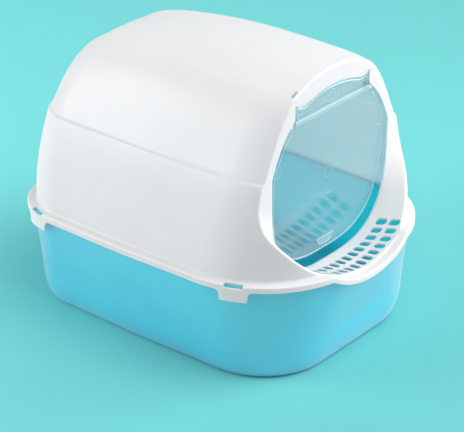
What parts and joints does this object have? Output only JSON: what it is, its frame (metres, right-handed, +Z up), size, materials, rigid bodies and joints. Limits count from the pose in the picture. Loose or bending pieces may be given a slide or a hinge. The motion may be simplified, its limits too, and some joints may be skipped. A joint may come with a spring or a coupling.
{
  "type": "covered litter box",
  "caption": "Covered litter box: a deep tray, a domed clip-on hood with a perforated entry step, and a clear swing door hung in its arched doorway.",
  "frame": {"origin": "on the floor, below the middle of the rim", "axes": "+Z up, -Y towards the doorway, +X to the right of someone who looks in through the doorway from the front"},
  "size_m": [0.394, 0.5, 0.3999],
  "materials": {
    "tray": "injection-moulded light blue plastic, satin to gloss",
    "hood": "injection-moulded white plastic, satin",
    "door": "clear transparent plastic, polished"
  },
  "bodies": {
    "tray": {"tray": "tray"},
    "hood": {"hood": "hood"},
    "door": {"door": "door"}
  },
  "joints": [
    {"name": "hood_lift", "type": "slide", "parent": "tray", "child": "hood", "axis": [0, 0, 1], "range_m": [0, 0.12]},
    {"name": "door_swing", "type": "hinge", "parent": "hood", "child": "door", "pos_m": [0, -0.1705, 0.34], "axis": [1, 0, 0], "range_deg": [-75, 75]}
  ]
}
